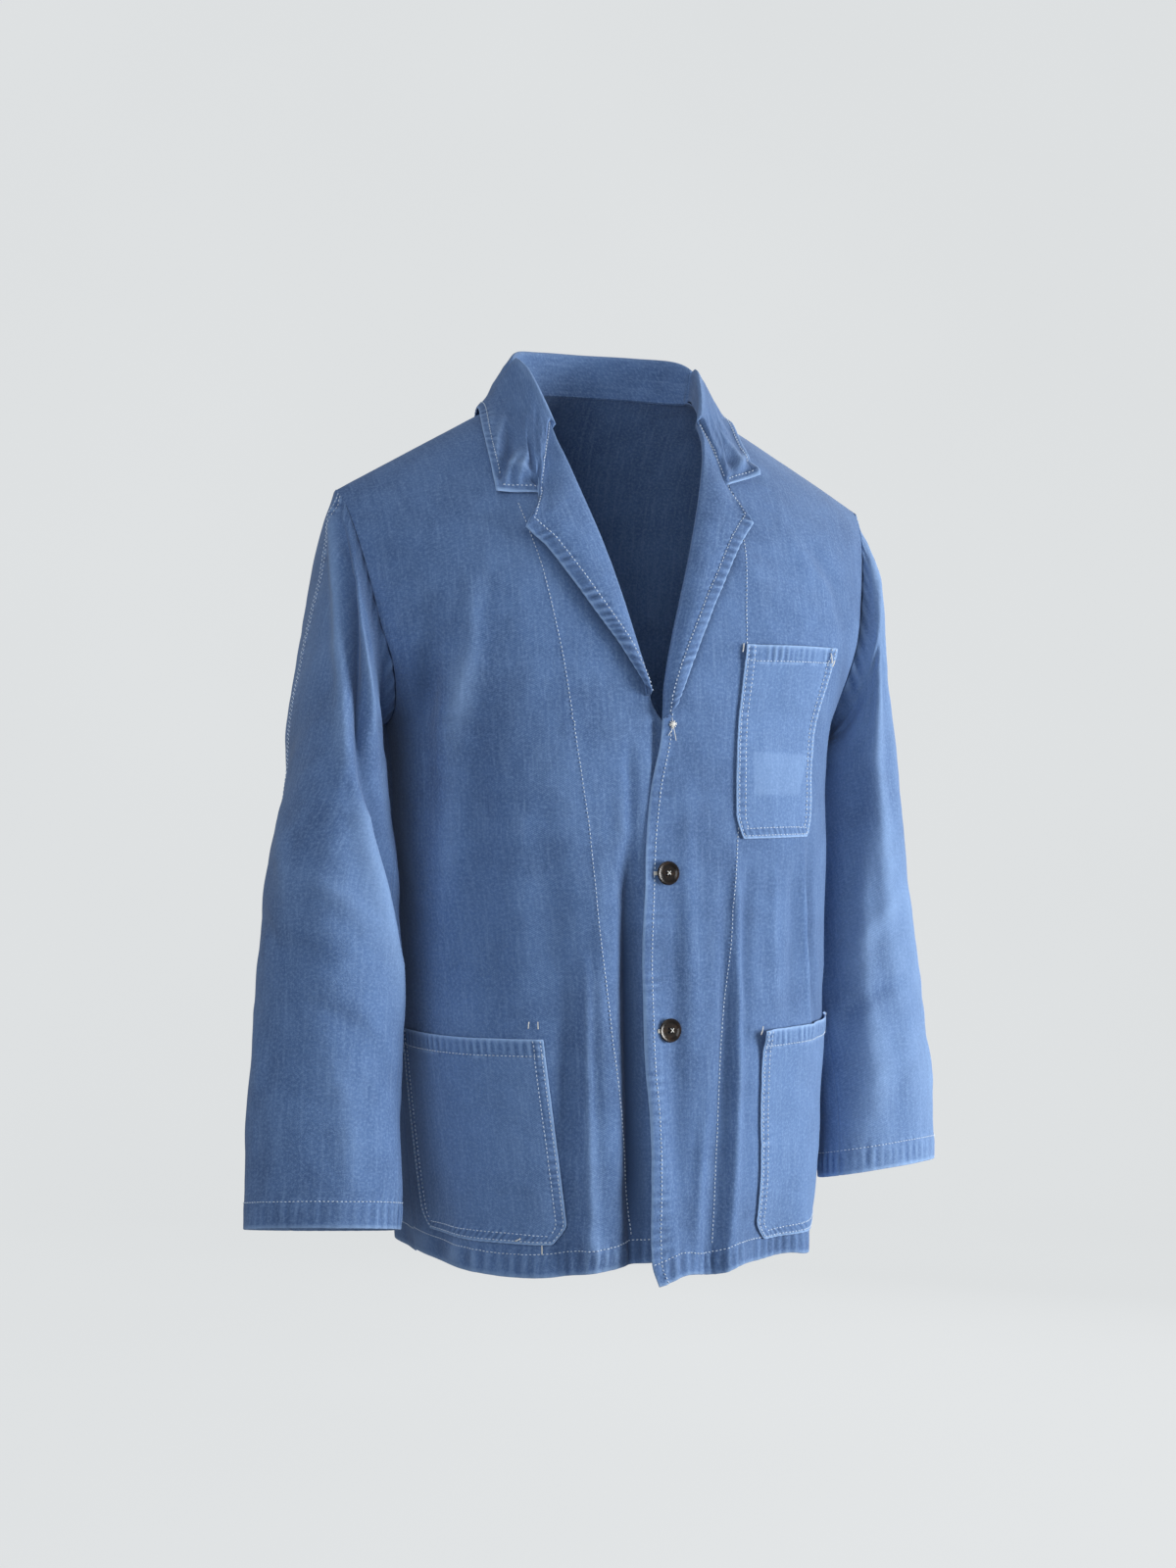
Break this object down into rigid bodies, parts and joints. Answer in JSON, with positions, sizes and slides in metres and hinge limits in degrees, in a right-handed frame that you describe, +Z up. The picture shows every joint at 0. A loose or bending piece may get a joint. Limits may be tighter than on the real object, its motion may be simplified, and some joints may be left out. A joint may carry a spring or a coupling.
{
  "type": "chore jacket",
  "caption": "Unlined cotton work jacket in its worn form, hollow and open at neck, hem and cuffs, with notched collar and patch pockets.",
  "frame": {"origin": "centre of the neck opening, level with the nape, where the jacket rests on its wearer's neck and shoulders", "axes": "+Z up, -Y out of the chest, +X to the wearer's left"},
  "size_m": [0.6212, 0.2926, 0.76],
  "materials": {
    "cloth": "washed mid-blue cotton twill, matte, paler along edges and seams",
    "pocket_cloth": "the same washed cotton, a little paler",
    "button": "dark brown-black, glossy"
  },
  "bodies": {
    "root": {"back": "cloth", "right_front": "cloth", "left_front": "cloth", "right_lapel": "cloth", "left_lapel": "cloth", "right_top_sleeve": "cloth", "right_under_sleeve": "cloth", "left_top_sleeve": "cloth", "left_under_sleeve": "cloth", "collar": "cloth", "chest_pocket": "pocket_cloth", "right_pocket": "pocket_cloth", "left_pocket": "pocket_cloth", "middle_button": "button", "lower_button": "button"}
  },
  "joints": []
}
